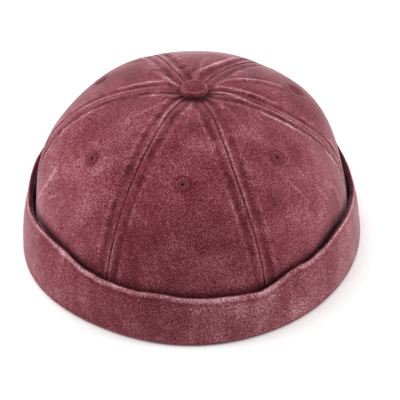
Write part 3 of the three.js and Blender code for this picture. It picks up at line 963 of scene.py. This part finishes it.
def eyelet_piece(panel):
    centre_share = panel.eyelet_share
    centre, normal = eyelet_centre(panel)
    start, end = panel.start(centre_share), panel.end(centre_share)
    distance = panel.width(centre_share) * (panel.eyelet_azimuth - start) / (end - start)
    centre, _, _ = cloth_surface(panel, distance, centre_share)
    right = unit(np.cross([0, 0, 1], normal))
    upward = np.cross(normal, right)
    turns = np.linspace(0, 2 * math.pi, EYELET_STRANDS * 5, endpoint=False)
    section = np.array(EYELET_SECTION)
    radius = EYELET_HOLE + (EYELET_RADIUS - EYELET_HOLE) * section[:, 0]
    height = EYELET_RISE * section[:, 1]
    ridge = np.abs(np.sin(turns * EYELET_STRANDS / 2)) - 0.6
    jitter = smooth_noise(along(turns * 9, panel.number * 9.0), 1.3, 31)
    shown = ramp(section[:, 0], 0.0, 0.2) * (section[:, 1] > -0.2)
    lift = height[None] + 0.14 * ridge[:, None] * shown
    reach = radius[None] + 0.16 * jitter[:, None] * ramp(section[:, 0], 0.7, 1)
    flat = right * np.cos(turns)[:, None] + upward * np.sin(turns)[:, None]
    points = centre + flat[:, None] * reach[..., None] + normal * (lift[..., None] + 0.1)
    rows, columns = len(turns), len(section)
    faces = []
    for row, column in product(range(rows), range(columns)):
        beside, after = (row + 1) % rows, (column + 1) % columns
        here, there = row * columns, beside * columns
        faces.append([there + column, there + after, here + after, here + column])
    cloth = np.stack(np.broadcast_arrays(turns[:, None] * 8, reach * 1.3, 1.0 * panel.number), -1)
    wear = np.broadcast_to(0.5 * ridge[:, None] + 0.1, reach.shape)
    points = points.reshape(-1, 3)
    name, node = f"stitched_eyelet_{panel.name}", f"eyelet_{panel.name}"
    return make_piece(name, points, faces, sewing_thread, cloth, wear, [node])


for panel in panels:
    eyelet_piece(panel)

# %% [markdown]
# ## The covered button
#
# The button is a metal cap with a round of the same twill pulled over it. The cloth is smooth on top and
# gathers a little as it goes over the rim. A section is turned about the crown's axis, and the gathers
# are ripples that grow towards the rim.

# %% Button
BUTTON_RADIUS = 7.6
BUTTON_RIM = 2.3
BUTTON_WALL = 0.5
BUTTON_RISE = 6.4
BUTTON_SEAT = 0.8
SHANK_RADIUS = 2
CLINCH_RADIUS = 4.2
CLINCH_THICKNESS = 0.8
BUTTON_TURNS = 96
BUTTON_GATHERS = 17
BUTTON_SHEET = 61.0
APEX = CROWN_HEIGHT - APEX_DIP


def button_section():
    """Radii and heights from the middle of the clinched end, out and up to the middle of the dome."""
    behind = -CLOTH_THICKNESS - 0.5
    shank = [(0, behind - CLINCH_THICKNESS), (CLINCH_RADIUS - 0.2, behind - CLINCH_THICKNESS)]
    shank += [(CLINCH_RADIUS, behind - 0.6), (CLINCH_RADIUS, behind - 0.2), (CLINCH_RADIUS - 0.2, behind)]
    shank += [(SHANK_RADIUS, behind), (SHANK_RADIUS, BUTTON_SEAT), (4.5, BUTTON_SEAT)]
    shoulder = BUTTON_RADIUS - BUTTON_RIM
    quarter = math.pi / 2

    def edge(height, first, last):
        turns = np.linspace(first, last, 8)
        return [(shoulder + BUTTON_RIM * math.cos(t), height + BUTTON_RIM * math.sin(t)) for t in turns]

    lower, upper = BUTTON_SEAT + BUTTON_RIM, BUTTON_SEAT + BUTTON_RIM + BUTTON_WALL
    wall = [(BUTTON_RADIUS, lower + (upper - lower) * share) for share in (0.33, 0.67)]
    low = upper + BUTTON_RIM
    reaches = np.linspace(1, 0, 14)[1:]
    dome = [(shoulder * reach, low + (BUTTON_RISE - low) * math.sqrt(1 - reach**2)) for reach in reaches]
    return np.array(shank + edge(lower, -quarter, 0) + wall + edge(upper, 0, quarter) + dome)


def button_piece():
    section = button_section()
    turns = np.linspace(0, 2 * math.pi, BUTTON_TURNS, endpoint=False)
    radius, height = section[1:-1, 0], section[1:-1, 1]
    flat = np.stack([np.cos(turns), np.sin(turns), 0 * turns], -1)
    points = flat[:, None] * radius[:, None] + np.array([0, 0, 1]) * (APEX + height)[:, None]
    covered = ramp(height, BUTTON_SEAT, BUTTON_SEAT + 1)
    ripple = np.sin(turns * BUTTON_GATHERS + 2 * np.sin(turns * 3))
    gathers = ripple[:, None] * ramp(radius, 4.5, 7.4) * covered
    dents = smooth_noise(points, 4, 41) * covered
    swell = 0.03 * gathers + 0.12 * dents
    points = points + flat[:, None] * swell[..., None] + np.array([0, 0, 1]) * (0.1 * dents)[..., None]
    columns = len(radius)
    grid = points.reshape(-1, 3)
    ends = np.array([[0, 0, APEX + section[0, 1]], [0, 0, APEX + section[-1, 1]]])
    faces = []
    for row in range(BUTTON_TURNS):
        here, beside = row * columns, (row + 1) % BUTTON_TURNS * columns
        faces += [[here + k, beside + k, beside + k + 1, here + k + 1] for k in range(columns - 1)]
        faces += [[len(grid), beside, here], [here + columns - 1, beside + columns - 1, len(grid) + 1]]
    grid = np.concatenate([grid, ends])
    steps = np.linalg.norm(np.diff(section[1:], axis=0), axis=1)
    from_middle = np.cumsum(steps[::-1])[::-1]
    spread = flat[:, None, :2] * from_middle[:, None]
    cloth = np.full_like(grid, BUTTON_SHEET)
    cloth[:, :2] = np.concatenate([spread.reshape(-1, 2), [[from_middle[0], 0], [0, 0]]])
    # Painted light and shade on the cover: its top is lighter and its wall darker. A paler line runs round
    # the top of the rim.
    paleness = 0.35 * ramp(grid[:, 2] - APEX, 2.2, 4.2) - 0.4
    paleness = paleness + 0.3 * bell(np.hypot(grid[:, 0], grid[:, 1]) - 6.6, 0.7) * ramp(grid[:, 2] - APEX, 4, 5)
    return make_piece("covered_button", grid, faces, button_twill, cloth, paleness, ["top_button"])


button_piece()

# %% [markdown]
# ## The cuff
#
# The cuff is a double band of twill. It is sewn to the foot of the crown, turns out at the fold it stands
# on, and comes up outside to a soft rolled lip. Its section changes as it goes round: here it hugs the
# crown, there it stands off. So a section is worked out at each azimuth from a table, and the sections are
# joined into a closed ring.

# %% Cuff
CUFF_THICKNESS = 2.6
FOOT_STANDOFF = 6
LIP_GAP = 4
CUFF_BELLY = 1.2
FOLD_RADIUS = 2
CUFF_TURNS = 720
CUFF_MEAN_RADIUS = 95.0
CUFF_SHEET = 55.0
# going round in twelve steps: shares of the foot's stand-off, shares of the lip's gap, how far down from
# its top the lip is rubbed pale, in millimetres, and how much lighter or darker the band is painted for the
# light that falls on it
CUFF_FEET = [1.3, 1.1, 0.98, 0.9, 1.2, 1.2, 1, 0.9, 0.8, 1.2, 1.7, 1.3]
CUFF_GAPS = [0.83, 0.7, 0.85, 0.43, 0.3, 1.05, 1.05, 0.75, 1.1, 0.5, 0.8, 0.85]
LIP_WEAR = [1.9, 1.9, 1.3, 0.9, 0.8, 0.8, 0.8, 0.8, 0.8, 1, 1.5, 1.9]
CUFF_PAINTED_LIGHT = [0.12, 0.22, 0.12, 0.05, 0, 0, 0, 0, 0, 0.05, 0.05, -0.22]


def cuff_sections(azimuth):
    """Names of the stretches, radii and heights of the section, and the lip's height, for a column of
    azimuths.
    """
    place = at_radius(CUFF_MEAN_RADIUS, azimuth[:, 0], 0)
    foot = outline(azimuth)
    uneven = 0.35 * smooth_noise(place, 9, 51) + 0.15 * smooth_noise(place, 3.5, 52)
    height = lip_height(azimuth) + uneven[:, None]
    outer_foot = foot + FOOT_STANDOFF * around(CUFF_FEET, azimuth)
    lip_angle = np.arcsin((height / CROWN_HEIGHT) ** (CROWN_SHOULDER / 2))
    lip = crown_radius(azimuth, lip_angle) + LIP_GAP * around(CUFF_GAPS, azimuth) + CUFF_THICKNESS
    lip = lip + 0.3 * smooth_noise(place, 14, 53)[:, None]
    half = CUFF_THICKNESS / 2 + 0.12 * smooth_noise(place, 5, 54)[:, None]

    stretches = []

    def add(name, radii, heights):
        together = np.broadcast_arrays(radii, heights, azimuth)
        stretches.append((name, together[0], together[1]))

    def turn(name, radius, centre_radius, centre_height, first, last, count):
        turns = np.radians(np.linspace(first, last, count))
        add(name, centre_radius + radius * np.cos(turns), centre_height + radius * np.sin(turns))

    def wall(share):
        return outer_foot + (lip - outer_foot) * share + CUFF_BELLY * np.sin(np.pi * share)

    def steps(first, last, count):
        return np.linspace(first, last, count + 2)[1:-1]

    thin = CLOTH_THICKNESS / 2
    fold = FOLD_RADIUS
    leg_back = foot - 2 * thin
    shares = steps(fold / CUFF_HEIGHT, 1 - 0.6 * CUFF_THICKNESS / CUFF_HEIGHT, 44)
    turn("leg", thin, foot - thin, LEG_HEIGHT - thin, 0, 180, 7)
    add("leg", leg_back, steps(LEG_HEIGHT - thin, fold, 4))
    turn("fold", fold, leg_back + fold, fold, 180, 270, 6)
    add("fold", leg_back + fold + (outer_foot - leg_back - 2 * fold) * steps(0, 1, 4), 0.0)
    turn("fold", fold, outer_foot - fold, fold, 270, 360, 8)
    add("face", wall(shares), height * shares)
    turn("lip", half, lip - half, height - half, 8, 172, 14)
    add("inside", wall(shares[::-2]) - 2 * half, height * shares[::-2])
    add("inside", outer_foot - 2 * half, np.array([1.0 * fold]))
    add("leg", foot + 0.02, np.array([1.0 * fold]))
    add("leg", foot, steps(fold, LEG_HEIGHT - thin, 4))
    names = np.concatenate([[name] * radii.shape[1] for name, radii, _ in stretches])
    radii = np.concatenate([radii for _, radii, _ in stretches], 1)
    heights = np.concatenate([heights for _, _, heights in stretches], 1)
    return names, radii, heights, height


def cuff_piece():
    azimuth = np.linspace(0, 360, CUFF_TURNS, endpoint=False)[:, None]
    names, radii, heights, top = cuff_sections(azimuth)
    place = at_radius(radii, azimuth, heights)
    shown = np.isin(names, ["face", "lip", "inside"])
    below_lip = top - heights
    rise = np.clip(heights / CUFF_HEIGHT, 0, 1)
    soft = ramp(heights, 1, 8) * shown
    swell = 0.7 * smooth_noise(place * [1, 1, 0.5], 34, 55) + 0.22 * smooth_noise(place, 12, 56)
    swell = swell * np.sin(np.pi * rise) ** 0.7
    crease = smooth_noise(place * [1, 1, 0.25], 6, 57)
    roll = 0.28 * bell(below_lip - 1.2, 1.2) - 0.25 * bell(below_lip - 3.6, 1.3)
    is_outside = np.isin(names, ["face", "lip"])
    radii = radii + (swell + 0.1 * crease) * soft + roll * is_outside
    points = at_radius(radii, azimuth, heights)
    rows, columns = radii.shape
    number = np.arange(rows * columns).reshape(rows, columns)
    ahead = np.roll(number, -1, axis=0)
    corners = [number, ahead, np.roll(ahead, -1, axis=1), np.roll(number, -1, axis=1)]
    faces = np.stack(corners, -1).reshape(-1, 4)
    steps = np.linalg.norm(np.diff(points, axis=1), axis=-1)
    upwards = np.concatenate([np.zeros((rows, 1)), np.cumsum(steps, 1)], 1)
    reach = np.radians(azimuth) * CUFF_MEAN_RADIUS
    cloth = np.stack(np.broadcast_arrays(reach, upwards.mean(0, keepdims=True), CUFF_SHEET), -1)
    ragged = 0.35 * smooth_noise(place, 2.2, 58) + 0.4 * smooth_noise(place, 9, 59)
    rubbed = ramp(around(LIP_WEAR, azimuth) + ragged - below_lip, -0.6, 0.5) * is_outside
    lip_middle = radii[:, names == "lip"].mean(1, keepdims=True)
    at_side = ramp(np.abs(np.sin(np.radians(azimuth))), 0.7, 0.95)
    # The inner half of the lip and the inside face, which are painted in shade; at the sides of the cap more
    # of the lip counts as inner.
    inner_side = ramp(lip_middle - radii + at_side, -0.5, 0.6) * (names == "lip") + (names == "inside")
    wear = (0.5 + 0.3 * at_side) * rubbed * (1 - inner_side) - 0.2 * bell(below_lip - 3.2, 1.0) * is_outside
    # Painted light and shade that differ round the band, left off the rubbed lip.
    wear = wear + around(CUFF_PAINTED_LIGHT, azimuth) * (1 - rubbed) * is_outside
    # Tone that follows the swells and creases; the inner half of the lip and the inside face get painted
    # shade.
    wear = wear + 0.15 * swell + 0.25 * crease * soft - 0.7 * inner_side
    return make_piece("turned_up_cuff", points, faces.tolist(), cuff_twill, cloth, wear, ["cuff"])


cuff_piece()
